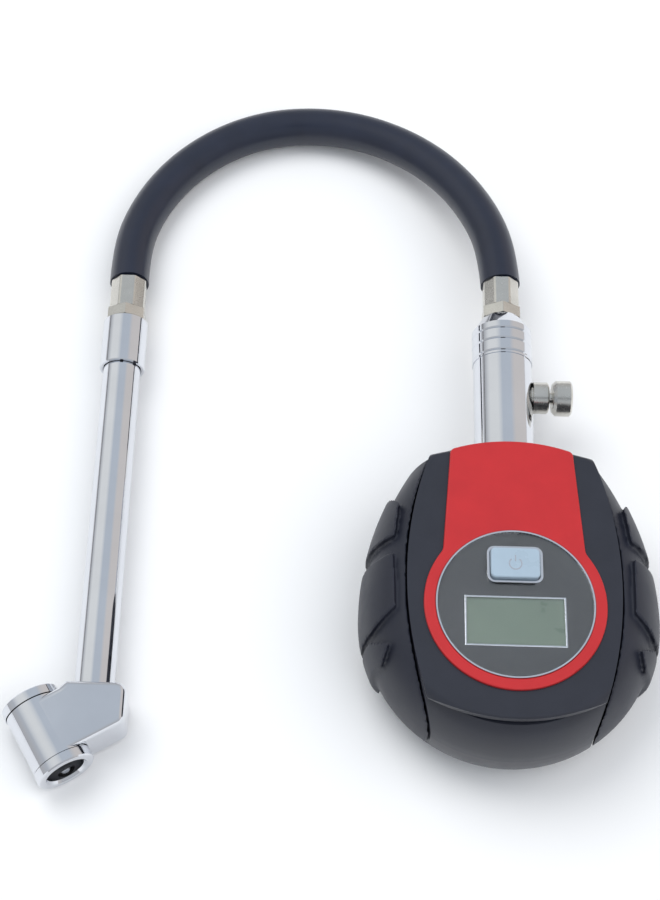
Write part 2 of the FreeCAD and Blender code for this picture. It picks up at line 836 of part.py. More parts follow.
def make_button():
    """Power button, its chrome frame, and the switch and return sleeve under it."""
    floor = "face_height - bezel_seat"
    sides = ("-button_half", "button_low_y", "button_half", "button_high_y")
    inner = rectangle(
        "-button_half - button_gap",
        "button_low_y - button_gap",
        "button_half + button_gap",
        "button_high_y + button_gap",
    )
    outer = rectangle(
        "-button_half - button_gap - button_frame_width",
        "button_low_y - button_gap - button_frame_width",
        "button_half + button_gap + button_frame_width",
        "button_high_y + button_gap + button_frame_width",
    )
    corner = size("button_corner")
    frame_top = "face_height - bezel_seat + mask_thickness + lens_thickness + button_frame_rise"
    outer_corner = corner + size("button_frame_width")
    frame_blank = rounded_slab("button_frame_blank", outer, floor, frame_top, outer_corner)
    frame_hole = rounded_slab("button_frame_hole", inner, 0, FAR, corner)
    keep(without("button_frame_shape", frame_blank, frame_hole), "button_frame")
    cap_low = floor + " - button_flange"
    cap = rounded_slab("button_cap", rectangle(*sides), cap_low, frame_top + " + button_rise", corner)
    top = size("face_height") - size("bezel_seat") + size("mask_thickness") + size("lens_thickness")
    top += size("button_frame_rise") + size("button_rise")
    fillet = size("button_top_fillet")
    soft_cap = rounded("button_soft_cap", cap, fillet, lambda edge: is_level(edge, top))
    flange_low = cap_low + " - button_gap"
    flange = slab("button_flange_plate", outer, flange_low, floor + " - button_gap")
    keep(fused("power_button_shape", [soft_cap, flange]), "power_button")
    middle_y = "(button_low_y + button_high_y) / 2"
    body = slab(
        "switch_body",
        rectangle("-switch_half", middle_y + " - switch_half", "switch_half", middle_y + " + switch_half"),
        "board_top_height",
        "board_top_height + switch_height",
    )
    pin_top = cap_low + " - button_gap - button_travel - switch_pin_gap"
    pin = cylinder("switch_pin", "switch_pin_radius", "board_top_height", pin_top, y=middle_y)
    keep(fused("tact_switch_shape", [body, pin]), "tact_switch")
    sleeve = turned(
        "button_return_sleeve",
        tube_corners("sleeve_radius", "sleeve_radius + sleeve_wall", "board_top_height", flange_low),
    )
    keep(placed(sleeve, y=middle_y), "button_return_sleeve")


# ---------------------------------------------------------------- inside the housing


def make_board():
    """Circuit board with its four screws."""
    low = "board_top_height - board_thickness"
    corners = [
        ("-board_half", "board_low_y"),
        ("board_half", "board_low_y"),
        ("board_half", "board_step_y"),
        ("board_tab_half", "board_step_y"),
        ("board_tab_half", "board_high_y"),
        ("-board_tab_half", "board_high_y"),
        ("-board_tab_half", "board_step_y"),
        ("-board_half", "board_step_y"),
    ]
    plate = slab("board_plate", corners, low, "board_top_height")
    holes = rods("board_hole", board_post_places(), "board_screw_radius", 0, FAR)
    pin_holes = rods("board_pin_hole", sensor_pin_places(), "sensor_pin_radius", 0, FAR)
    keep(without("board_shape", plate, fused("board_holes", [*holes, *pin_holes])), "circuit_board")
    shanks = rods("board_shank", board_post_places(), "board_screw_radius", low, "board_screw_end_height")
    head_low = low + " - board_screw_head_height"
    heads = rods("board_screw_head", board_post_places(), "board_screw_head_radius", head_low, low)
    keep(fused("board_screws_shape", [*shanks, *heads]), "board_screws")


def make_case_screws():
    """Four screws that hold the two shells together."""
    head_top = "case_screw_sink + case_screw_head_height"
    tip = "case_screw_end - case_screw_spare"
    shanks = rods("case_shank", case_screw_places(), "case_screw_radius", "case_screw_sink", tip)
    heads = rods("case_head", case_screw_places(), "case_screw_head_radius", "case_screw_sink", head_top)
    keep(fused("case_screws_shape", [*shanks, *heads]), "case_screws")


def sensor_pin_places():
    """Where the sensor's three pins stand."""
    return [(x, "sensor_pin_y") for x in ("-sensor_pin_pitch", "0", "sensor_pin_pitch")]


def make_sensor():
    """Pressure sensor on the stem's inner end, its seal and its pins up to the board."""
    can = turned(
        "pressure_sensor",
        [
            ("0", "sensor_start_y"),
            ("sensor_radius", "sensor_start_y"),
            ("sensor_radius", "stem_start_y - sensor_seal_thickness"),
            ("0", "stem_start_y - sensor_seal_thickness"),
        ],
    )
    keep(on_stem(can), "pressure_sensor")
    seal_low = "stem_start_y - sensor_seal_thickness"
    seal = turned("sensor_seal", tube_corners("stem_bore", "sensor_seal_radius", seal_low, "stem_start_y"))
    keep(on_stem(seal), "sensor_seal")
    pin_top = "board_top_height + sensor_pin_over"
    pins = rods("sensor_pin", sensor_pin_places(), "sensor_pin_radius", "stem_height", pin_top)
    room = on_stem(cylinder_along("sensor_room", "sensor_radius", "sensor_start_y", "stem_start_y"))
    keep(without("sensor_pins_shape", fused("sensor_pin_set", pins), room), "sensor_pins")


def make_battery():
    """Coin cell, its two contacts, and the coin-slotted cap with its seal."""
    cell_high = "cell_low + cell_thickness"
    cell = turned(
        "coin_cell",
        [
            ("0", "cell_low"),
            ("cell_radius", "cell_low"),
            ("cell_radius", cell_high + " - cell_step"),
            ("cell_radius - cell_rim", cell_high),
            ("0", cell_high),
        ],
    )
    keep(on_cell(cell), "coin_cell")
    thick = "contact_thickness"
    leaf_low = cell_high + " + contact_gap"
    board_low = "board_top_height - board_thickness"
    upright = "well_radius + well_wall + contact_clear"
    make_strip(
        "battery_contact_negative",
        [
            ("0", cell_high),
            ("contact_touch", leaf_low),
            (upright, leaf_low),
            (upright, board_low),
            (upright + " + " + thick, board_low),
            (upright + " + " + thick, leaf_low + " + " + thick),
            ("contact_touch", leaf_low + " + " + thick),
            ("0", cell_high + " + " + thick),
        ][::-1],
    )
    make_strip(
        "battery_contact_positive",
        rectangle("-cell_radius - " + thick, "cell_low + cell_step", "-cell_radius", board_low),
    )
    top = "cap_recess + cap_thickness"
    disc = turned(
        "battery_cap_disc",
        [
            ("0", "cap_recess"),
            ("cap_radius", "cap_recess"),
            ("cap_radius", top),
            ("cap_spigot_radius", top),
            ("cap_spigot_radius", "cell_low - contact_gap"),
            ("0", "cell_low - contact_gap"),
        ],
    )
    slot = slab(
        "coin_slot",
        rectangle("-coin_slot_half", "-coin_slot_width / 2", "coin_slot_half", "coin_slot_width / 2"),
        "-cut_over",
        "cap_recess + coin_slot_depth",
    )
    slotted = without("battery_cap_shape", disc, slot)
    keep(on_cell(slotted), "battery_cap")
    seal = turned(
        "battery_cap_seal",
        tube_corners(
            "well_radius",
            "cap_radius - seal_inset",
            top + " + seal_gap",
            top + " + cap_seal_thickness",
        ),
    )
    keep(on_cell(seal), "battery_cap_seal")


def make_strip(name, corners):
    """A sheet-metal contact: a side outline padded to the contact's width."""
    body = document.addObject("PartDesign::Body", name)
    sketch = polygon_sketch(body, name + "_outline", "XZ_Plane", corners)
    pad = body.newObject("PartDesign::Pad", name + "_pad")
    pad.Profile = sketch
    pad.Midplane = True
    bind(pad, Length="contact_width")
    keep(on_cell(body), name)


# ---------------------------------------------------------------- stem and bleed valve


def cylinder_along(name, radius, low, high):
    """A turned rod between two heights of its own Z, to be placed on an axis."""
    return turned(name, [("0", low), (radius, low), (radius, high), ("0", high)])


def make_stem():
    """Air stem with a flange inside the housing, and the grooved cap on its end."""
    profile = [
        ("stem_bore", "stem_start_y"),
        ("stem_radius", "stem_start_y"),
        ("stem_radius", "stem_flange_start_y"),
        ("stem_flange_radius", "stem_flange_start_y"),
        ("stem_flange_radius", "stem_flange_end_y"),
        ("stem_radius", "stem_flange_end_y"),
        ("stem_radius", "stem_end_y"),
        ("stem_spigot_radius", "stem_end_y"),
        ("stem_spigot_radius", "stem_spigot_end_y"),
        ("stem_socket_radius", "stem_spigot_end_y"),
        ("stem_socket_radius", "stem_spigot_end_y - stem_socket_depth"),
        ("stem_bore", "stem_spigot_end_y - stem_socket_depth"),
    ]
    blank = on_stem(turned("stem_blank", profile))
    mouth = "stem_radius + cut_over"
    cross_hole = on_bleed(cylinder_along("bleed_hole", "bleed_thread_radius", "-bleed_pocket_depth", mouth))
    keep(without("stem_shape", blank, cross_hole), "stem")
    sunk = "stem_cap_radius - stem_cap_groove"
    flange_low = "stem_spigot_end_y + face_gap"
    flange_high = flange_low + " + tail_flange_thickness + face_gap"
    outline = [
        ("stem_spigot_radius", "stem_end_y"),
        ("stem_cap_radius", "stem_end_y"),
    ]
    for groove in ("first_groove_y", "second_groove_y", "third_groove_y"):
        outline.append(("stem_cap_radius", groove + " - groove_width / 2"))
        outline.append((sunk, groove))
        outline.append(("stem_cap_radius", groove + " + groove_width / 2"))
    outline += [
        ("stem_cap_radius", "stem_cap_shoulder_y"),
        ("stem_cap_end_radius", "stem_cap_end_y"),
        ("tail_neck_radius + running_gap", "stem_cap_end_y"),
        ("tail_neck_radius + running_gap", flange_high),
        ("stem_spigot_radius", flange_high),
    ]
    keep(on_stem(turned("stem_cap", outline)), "stem_cap")


def make_bleed_valve():
    """Bleed valve: a boss in the stem's side, its push button, seal and return spring."""
    bore = "bleed_stem_radius + running_gap"
    boss = turned(
        "bleed_boss",
        [
            (bore, "bleed_thread_start"),
            ("bleed_thread_radius", "bleed_thread_start"),
            ("bleed_thread_radius", "stem_radius"),
            ("bleed_boss_radius", "stem_radius"),
            ("bleed_boss_radius", "bleed_boss_end - bleed_boss_chamfer"),
            ("bleed_boss_radius - bleed_boss_chamfer", "bleed_boss_end"),
            (bore, "bleed_boss_end"),
        ],
    )
    keep(on_bleed(boss), "bleed_boss")
    seal_low = "bleed_thread_start - bleed_seal_thickness"
    disc_low = seal_low + " - bleed_disc_thickness"
    head_low = "bleed_boss_end + bleed_travel + bleed_head_gap"
    button = turned(
        "bleed_button",
        [
            ("0", disc_low),
            ("bleed_disc_radius", disc_low),
            ("bleed_disc_radius", seal_low),
            ("bleed_stem_radius", seal_low),
            ("bleed_stem_radius", head_low),
            ("bleed_head_radius - bleed_head_chamfer", head_low),
            ("bleed_head_radius", head_low + " + bleed_head_chamfer"),
            ("bleed_head_radius", "bleed_head_end - bleed_head_chamfer / 2"),
            ("bleed_head_radius - bleed_head_chamfer / 2", "bleed_head_end"),
            ("0", "bleed_head_end"),
        ],
    )
    keep(on_bleed(button), "bleed_button")
    ring = tube_corners("bleed_stem_radius", "bleed_disc_radius", seal_low, "bleed_thread_start")
    seal = turned("bleed_seal", ring)
    keep(on_bleed(seal), "bleed_seal")
    spring = coil(
        "bleed_spring",
        "bleed_stem_radius",
        "-bleed_pocket_depth + spring_wire",
        disc_low + " - spring_wire",
        5,
    )
    keep(on_bleed(spring), "bleed_spring")


def coil(name, ring_radius, low, high, turns):
    """A compression spring about its own Z; its wire's centre runs from low to high."""
    body = document.addObject("PartDesign::Body", name)
    plane = next(item for item in body.Origin.OriginFeatures if item.Role == "XZ_Plane")
    sketch = body.newObject("Sketcher::SketchObject", name + "_wire")
    sketch.AttachmentSupport = (plane, [""])
    sketch.MapMode = "FlatFace"
    sketch.addGeometry(Part.Circle(FreeCAD.Vector(2, 1, 0), FreeCAD.Vector(0, 0, 1), 0.3), False)
    for kind, formula in (("DistanceX", ring_radius), ("DistanceY", low)):
        number = sketch.addConstraint(Sketcher.Constraint(kind, -1, 1, 0, 3, 2.0))
        sketch.setExpression("Constraints[%d]" % number, bound(formula))
    number = sketch.addConstraint(Sketcher.Constraint("Radius", 0, 0.3))
    sketch.setExpression("Constraints[%d]" % number, bound("spring_wire"))
    helix = body.newObject("PartDesign::AdditiveHelix", name + "_helix")
    helix.Profile = sketch
    helix.ReferenceAxis = (sketch, ["V_Axis"])
    helix.Mode = "height-turns-angle"
    helix.Turns = turns
    bind(helix, Height="(%s) - (%s)" % (high, low))
    return body


# ---------------------------------------------------------------- hose and its ends


def make_gauge_end():
    """Swivelling tail of the hose at the gauge, its seal and its crimped ferrule."""
    flange_low = "stem_spigot_end_y + face_gap"
    hex_low = "stem_cap_end_y + face_gap"
    barb_radius = "ferrule_radius - ferrule_wall"
    pilot_low = "stem_spigot_end_y - stem_socket_depth + tail_pilot_gap"
    shaft = turned(
        "gauge_tail_shaft",
        [
            ("tail_bore", pilot_low),
            ("tail_pilot_radius", pilot_low),
            ("tail_pilot_radius", flange_low),
            ("tail_flange_radius", flange_low),
            ("tail_flange_radius", flange_low + " + tail_flange_thickness"),
            ("tail_neck_radius", flange_low + " + tail_flange_thickness"),
            ("tail_neck_radius", hex_low),
            (barb_radius, hex_low),
            (barb_radius, "gauge_hose_y"),
            ("tail_bore", "gauge_hose_y"),
        ],
    )
    nut = hexagon("gauge_tail_hex", "tail_bore", hex_low, hex_low + " + tail_hex_length")
    keep(on_stem(fused("gauge_tail_shape", [shaft, nut])), "gauge_tail")
    seal = turned(
        "gauge_swivel_seal",
        tube_corners(
            "tail_pilot_radius",
            "stem_socket_radius - running_gap",
            "swivel_seal_y - swivel_seal_half",
            "swivel_seal_y + swivel_seal_half",
        ),
    )
    keep(on_stem(seal), "gauge_swivel_seal")
    ferrule = turned(
        "gauge_ferrule",
        tube_corners(barb_radius, "ferrule_radius", hex_low + " + tail_hex_length", "gauge_hose_y"),
    )
    keep(on_stem(ferrule), "gauge_ferrule")


def hexagon(name, bore, low, high):
    """A six-sided collar with a bore, about its own Z."""
    corners = []
    for step in range(6):
        angle = math.radians(60 * step + 30)
        reach = 0.5 / math.cos(math.radians(30))
        corners.append(
            (
                "tail_hex_across * %.6f" % (reach * math.cos(angle)),
                "tail_hex_across * %.6f" % (reach * math.sin(angle)),
            )
        )
    blank = slab(name + "_blank", corners, low, high)
    return without(name, blank, cylinder(name + "_bore", bore, -FAR, 3 * FAR))


def make_wand_end():
    """Tail, ferrule and chrome collar at the wand's end of the hose."""
    barb_radius = "ferrule_radius - ferrule_wall"
    hex_high = "wand_collar_end_y + tail_hex_length"
    shaft = turned(
        "wand_tail_shaft",
        tube_corners("tail_bore", barb_radius, "wand_collar_end_y", "wand_hose_y"),
    )
    thread = turned(
        "wand_tail_thread",
        tube_corners("tail_bore", "wand_bore", "wand_top_y + face_gap", "wand_collar_end_y"),
    )
    nut = hexagon("wand_tail_hex", "tail_bore", "wand_collar_end_y", hex_high)
    keep(on_wand(fused("wand_tail_shape", [shaft, thread, nut])), "wand_tail")
    ferrule = turned("wand_ferrule", tube_corners(barb_radius, "ferrule_radius", hex_high, "wand_hose_y"))
    keep(on_wand(ferrule), "wand_ferrule")
    running = "wand_radius + running_gap"
    mouth = "wand_radius + wand_collar_mouth_gap"
    mouth_high = "wand_collar_start_y + wand_collar_mouth"
    collar = turned(
        "wand_collar",
        [
            (mouth, "wand_collar_start_y"),
            ("wand_collar_radius - wand_collar_chamfer", "wand_collar_start_y"),
            ("wand_collar_radius", "wand_collar_start_y + wand_collar_chamfer"),
            ("wand_collar_radius", "wand_collar_end_y - wand_collar_end_chamfer"),
            ("wand_collar_radius - wand_collar_end_chamfer", "wand_collar_end_y"),
            ("wand_bore", "wand_collar_end_y"),
            ("wand_bore", "wand_top_y + face_gap"),
            (running, "wand_top_y + face_gap"),
            (running, mouth_high),
            (mouth, mouth_high),
        ],
    )
    keep(on_wand(collar), "wand_collar")


def make_hose():
    """Rubber hose: straight runs joined by tangent arcs, swept with its outer section."""
    points = [FreeCAD.Vector(*point) for point in HOSE_ROUTE]
    edges = []
    start = points[0]
    radii = []
    for before, corner, after in zip(points, points[1:], points[2:]):
        arriving = corner - before
        leaving = after - corner
        half_turn = arriving.getAngle(leaving) / 2
        setback = ARC_SHARE * min(arriving.Length, leaving.Length)
        radius = setback / math.tan(half_turn)
        arriving.normalize()
        leaving.normalize()
        arc_start = corner - arriving * setback
        arc_end = corner + leaving * setback
        inward = leaving - arriving
        inward.normalize()
        bulge = radius / math.cos(half_turn) - radius
        arc = Part.Arc(arc_start, corner + inward * bulge, arc_end)
        edges.append(Part.LineSegment(start, arc_start).toShape())
        edges.append(arc.toShape())
        radii.append(radius)
        start = arc_end
    edges.append(Part.LineSegment(start, points[-1]).toShape())
    path = Part.Wire(edges)
    length = path.Length
    first = points[1] - points[0]
    section = Part.Wire(Part.makeCircle(size("hose_radius"), points[0], first))
    hose = document.addObject("Part::Feature", "hose")
    hose.Shape = path.makePipeShell([section], True, False)
    expected = math.pi * size("hose_radius") ** 2 * length
    print("hose length %.1f mm, tightest arc %.1f mm" % (length, min(radii)))
    print("hose arcs", " ".join("%.0f" % radius for radius in radii))
    print("hose volume over section times length: %.4f" % (hose.Shape.Volume / expected))
    keep(hose, "hose")


# ---------------------------------------------------------------- wand and chuck


def make_wand():
    """Straight wand with its swivel end, seal and retaining clip."""
    tube = turned(
        "wand_tube",
        [
            ("wand_bore", "wand_end_y"),
            ("wand_radius", "wand_end_y"),
            ("wand_radius", "wand_shoulder_y"),
            ("wand_top_radius", "wand_shoulder_y"),
            ("wand_top_radius", "wand_top_y"),
            ("wand_bore", "wand_top_y"),
        ],
    )
    keep(on_wand(tube), "wand_tube")
    running = "wand_radius - running_gap"
    for name in ("wand_seal", "wand_clip"):
        low = "%s_y - %s_half" % (name, name)
        high = "%s_y + %s_half" % (name, name)
        keep(on_wand(turned(name, tube_corners("wand_top_radius", running, low, high))), name)


def make_chuck_body():
    """Cast chuck body: the double foot's barrel and the arm to the wand, bored for air."""
    barrel = on_foot(cylinder_along("foot_barrel", "foot_body_radius", "-foot_body_half", "foot_body_half"))
    corners = [("wand_x + (%s)" % x, str(y)) for x, y in ARM_OUTLINE]
    arm = slab("arm_blank", corners, "wand_height - arm_half_height", "wand_height + arm_half_height")
    upright = rounded(
        "arm_rounded",
        arm,
        size("arm_corner"),
        lambda edge: is_upright(edge) and edge.BoundBox.XMin > size("wand_x"),
    )
    high = size("wand_height") + size("arm_half_height")
    low = size("wand_height") - size("arm_half_height")
    soft = rounded(
        "arm_softened", upright, size("arm_fillet"), lambda edge: is_level(edge, high) or is_level(edge, low)
    )
    solid = fused("chuck_solid", [barrel, soft])
    chambers = []
    mouth = "foot_body_half + cut_over"
    for name, front in (("front", True), ("rear", False)):
        thread = cylinder_along(name + "_chamber", "foot_thread_radius", "foot_web_half", mouth)
        chambers.append(on_foot(thread, front))
    web_hole = on_foot(cylinder_along("web_hole", "foot_air_radius", "-foot_body_half", "foot_body_half"))
    air = on_wand(cylinder_along("arm_air_hole", "foot_air_radius", "foot_y", "wand_end_y + cut_over"))
    cross = cylinder_along("arm_cross_hole", "foot_air_radius", 0, "-foot_offset_x")
    placed(cross, ALONG_X, "wand_x + foot_offset_x", "foot_y", "wand_height")
    keep(without("chuck_shape", solid, fused("chuck_bores", [*chambers, web_hole, air, cross])), "chuck_body")


def make_foot(side):
    """One foot's screwed cap, valve seal with its seat, sprung plunger and spring."""
    front = side == "front"
    rim = "foot_half"
    pocket_high = rim + " - foot_mouth_depth"
    seal_high = pocket_high + " - foot_seal_play"
    seal_low = seal_high + " - foot_seal_thickness"
    seat_low = seal_low + " - foot_seat_thickness"
    cap = turned(
        side + "_foot_cap",
        [
            ("foot_shoulder_radius", "foot_thread_start"),
            ("foot_thread_radius", "foot_thread_start"),
            ("foot_thread_radius", "foot_cap_start"),
            ("foot_cap_radius", "foot_cap_start"),
            ("foot_cap_radius", rim + " - foot_rim_chamfer"),
            ("foot_cap_radius - foot_rim_chamfer", rim),
            ("foot_mouth_radius + foot_mouth_chamfer", rim),
            ("foot_mouth_radius", rim + " - foot_mouth_chamfer"),
            ("foot_mouth_radius", pocket_high),
            ("foot_seal_radius", pocket_high),
            ("foot_seal_radius", seat_low),
            ("foot_shoulder_radius", seat_low),
        ],
    )
    keep(on_foot(cap, front), side + "_foot_cap")
    ring = tube_corners("foot_seal_hole", "foot_seal_radius", seal_low, seal_high)
    seal = turned(side + "_foot_seal", ring)
    keep(on_foot(seal, front), side + "_foot_seal")
    seat = turned(side + "_foot_seat", tube_corners("foot_seat_hole", "foot_seal_radius", seat_low, seal_low))
    keep(on_foot(seat, front), side + "_foot_seat")
    disc_high = seat_low + " - seal_gap"
    disc_low = seat_low + " - foot_disc_thickness"
    plunger = turned(
        side + "_plunger",
        [
            ("0", disc_low),
            ("foot_disc_radius", disc_low),
            ("foot_disc_radius", disc_high),
            ("foot_pin_radius", disc_high),
            ("foot_pin_radius", "foot_pin_end - foot_pin_chamfer"),
            ("foot_pin_radius - foot_pin_chamfer", "foot_pin_end"),
            ("0", "foot_pin_end"),
        ],
    )
    keep(on_foot(plunger, front), side + "_plunger")
    spring = coil(
        side + "_plunger_spring",
        "plunger_spring_radius",
        "foot_web_half + spring_wire",
        disc_low + " - spring_wire",
        3,
    )
    keep(on_foot(spring, front), side + "_plunger_spring")


# ---------------------------------------------------------------- the whole gauge


def check_and_write():
    """Refuse a failed document, then write each sub-part to its own file."""
    document.recompute()
    for thing in document.Objects:
        if "Invalid" in thing.State or "Error" in thing.State:
            raise RuntimeError("failed: %s %s" % (thing.Name, thing.State))
    for node in nodes:
        if node.Shape.isNull() or not node.Shape.isValid():
            raise RuntimeError("bad shape: " + node.Label)
    os.makedirs("parts", exist_ok=True)
    for node in nodes:
        node.Shape.exportStep(os.path.join("parts", node.Label + ".step"))
    print(len(nodes), "nodes written")


def main():
    """Build the gauge piece by piece."""
    fill_sheet()
    bezel_blank = make_bezel()
    outer, core, case = make_housing()
    make_front_shell(case, bezel_blank)
    make_rear_shell(case)
    make_grips(outer, core)
    make_display()
    make_button()
    make_board()
    make_case_screws()
    make_sensor()
    make_battery()
    make_stem()
    make_bleed_valve()
    make_gauge_end()
    make_wand_end()
    make_hose()
    make_wand()
    make_chuck_body()
    for side in ("front", "rear"):
        make_foot(side)
    check_and_write()


main()
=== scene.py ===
"""Looks of a hand-held tire pressure gauge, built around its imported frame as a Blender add-on.

The frame holds every working part at its real size and place, in metres, with Z up and the
gauge lying on its back. Each operator below makes or finishes one group of pieces.
"""

import json
import math

import bpy
from bpy.props import FloatProperty, FloatVectorProperty, PointerProperty
from mathutils import Matrix, Vector


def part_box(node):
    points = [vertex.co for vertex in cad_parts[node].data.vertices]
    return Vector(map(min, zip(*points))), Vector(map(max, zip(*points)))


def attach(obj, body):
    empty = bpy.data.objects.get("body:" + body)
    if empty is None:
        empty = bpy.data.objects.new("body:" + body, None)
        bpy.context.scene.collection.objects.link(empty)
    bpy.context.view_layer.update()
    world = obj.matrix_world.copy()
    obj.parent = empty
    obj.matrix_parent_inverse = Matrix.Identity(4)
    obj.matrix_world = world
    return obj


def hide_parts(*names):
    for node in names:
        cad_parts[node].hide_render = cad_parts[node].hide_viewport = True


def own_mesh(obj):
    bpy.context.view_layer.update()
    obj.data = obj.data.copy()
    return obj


bl_info = {
    "name": "Tire Pressure Gauge",
    "version": (1, 0, 0),
    "blender": (4, 5, 0),
    "location": "View3D > Sidebar > Gauge",
    "description": "Finishes a tire pressure gauge around its working frame",
    "category": "Object",
}

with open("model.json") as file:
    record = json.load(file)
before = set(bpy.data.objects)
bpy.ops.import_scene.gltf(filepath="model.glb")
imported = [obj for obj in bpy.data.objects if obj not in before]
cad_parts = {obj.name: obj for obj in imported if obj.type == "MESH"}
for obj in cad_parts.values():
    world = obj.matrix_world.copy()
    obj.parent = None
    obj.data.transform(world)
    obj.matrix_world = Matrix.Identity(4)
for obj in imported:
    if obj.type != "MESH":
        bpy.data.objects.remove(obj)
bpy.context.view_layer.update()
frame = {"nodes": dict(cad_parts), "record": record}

# Hose centreline, the same points as the frame's hose.
HOSE_ROUTE = [
    (0.0, 0.1280, 0.0220),
    (-0.0008, 0.1424, 0.0213),
    (-0.0057, 0.1591, 0.0190),
    (-0.0146, 0.1757, 0.0159),
    (-0.0276, 0.1903, 0.0125),
    (-0.0442, 0.2010, 0.0095),
    (-0.0630, 0.2060, 0.0076),
    (-0.0824, 0.2045, 0.0070),
    (-0.1001, 0.1965, 0.00695),
    (-0.1148, 0.1833, 0.00695),
    (-0.1250, 0.1664, 0.0072),
    (-0.1298, 0.1480, 0.0084),
    (-0.1293, 0.1322, 0.00975),
]

# The viewing angle: place in metres, angles in degrees, lens and sensor in millimetres.
CAMERA_PLACE = (-0.0619, -0.2258, 0.5589)
CAMERA_TURN = -0.9
CAMERA_TILT = 28.168
CAMERA_ROLL = 2.4468
CAMERA_LENS = 74.14
SENSOR_WIDTH = 36.0

# The floor, and each light's name, place, size in metres and power in watts.
STAGE_CENTRE = (-0.05, 0.07, 0.0)
FLOOR_SIZE = 6.0
FLOOR_DARK = (0.93, 0.93, 0.93, 1.0)
FLOOR_LIGHT = (0.96, 0.96, 0.96, 1.0)
LIGHT_RIG = (
    ("key_light", (-0.45, 0.45, 1.10), 0.9, 6.0),
    ("fill_light", (0.55, -0.20, 1.00), 1.2, 5.0),
)

# The pale room round the stage: what lies in each direction, and its colour.
ROOM_STRENGTH = 0.85
UPWARDS = (0.0, 0.0, 1.0)
TO_CAMERA_FRONT = (-0.0074, -0.472, 0.8815)
TO_RAIL = (-0.875, 0.470, 0.120)
TO_WINDOW = (-0.63, 0.33, 0.70)
TO_WARM_WALL = (0.93, 0.33, 0.15)
WALL_LOW = (0.60, 0.61, 0.63, 1.0)
WALL_HIGH = (0.66, 0.72, 0.80, 1.0)
WARM_WALL = (0.82, 0.78, 0.76, 1.0)
WINDOW_LIGHT = (0.98, 1.0, 1.0, 1.0)
ROOM_DARK = (0.03, 0.03, 0.035, 1.0)

# Colours of the parts inside.
SEAL_BLACK = (0.020, 0.020, 0.022, 1.0)
BOARD_GREEN = (0.02, 0.16, 0.07, 1.0)
COMPONENT_BLACK = (0.03, 0.03, 0.035, 1.0)
SILICONE = (0.60, 0.60, 0.57, 1.0)
STEEL = (0.60, 0.61, 0.62, 1.0)
BRASS = (0.78, 0.58, 0.25, 1.0)

# Where noise values nearly all lie.
NOISE_LOW = 0.3
NOISE_HIGH = 0.7

# Merging and shading of the frame's surfaces: metres and degrees.
MERGE_DISTANCE = 0.000002
FLAT_ANGLE = 0.5
SHELL_ANGLE = 24.0
METAL_ANGLE = 28.0
ROUND_ANGLE = 30.0
EDGE_ANGLE = 40.0
FLANK_ANGLE = 50.0
SOFT_ANGLE = 60.0

# The crimped ferrules and the power symbol.
FERRULE_FLATS = 8
RIDGE_SEGMENTS = 4
SYMBOL_HALF_GAP = math.radians(38)
SYMBOL_STEPS = 40
BAR_RISE = 0.95
BAR_LENGTH = 1.1
JOIN_DISTANCE = 0.000001

# Each spring, and the joint that presses it.
SPRINGS = (
    ("bleed_spring", "bleed_button_press"),
    ("front_plunger_spring", "front_plunger_slide"),
    ("rear_plunger_spring", "rear_plunger_slide"),
)


# ---------------------------------------------------------------- settings


class GaugeSizes(bpy.types.PropertyGroup):
    """Sizes that a maker would change."""

    hose_radius: FloatProperty(
        name="Hose radius", description="Outer radius of the rubber hose", default=0.0068, unit="LENGTH"
    )
    grip_voxel: FloatProperty(
        name="Grip detail", description="Mesh size of the rubber grips", default=0.0005, unit="LENGTH"
    )
    edge_bevel: FloatProperty(
        name="Edge bevel", description="Rounding of turned edges", default=0.00015, unit="LENGTH"
    )
    frame_bevel: FloatProperty(
        name="Frame bevel", description="Rounding of the display's frame", default=0.00012, unit="LENGTH"
    )
    nut_bevel: FloatProperty(
        name="Nut bevel", description="Rounding of the hexagons", default=0.0003, unit="LENGTH"
    )
    crimp_ridge: FloatProperty(
        name="Crimp ridge", description="Rounding between the flats of a ferrule", default=0.0006, unit="LENGTH"
    )
    ferrule_wall: FloatProperty(
        name="Ferrule wall", description="Wall thickness of the ferrules", default=0.0008, unit="LENGTH"
    )
    symbol_radius: FloatProperty(
        name="Symbol radius", description="Radius of the power symbol's ring", default=0.0019, unit="LENGTH"
    )
    symbol_line: FloatProperty(
        name="Symbol line", description="Line width of the power symbol", default=0.0004, unit="LENGTH"
    )
    lens_gap: FloatProperty(
        name="Lens gap", description="Air under the clear lens", default=0.00003, unit="LENGTH"
    )
    print_height: FloatProperty(
        name="Print height", description="How proud the printed symbol stands", default=0.00003, unit="LENGTH"
    )


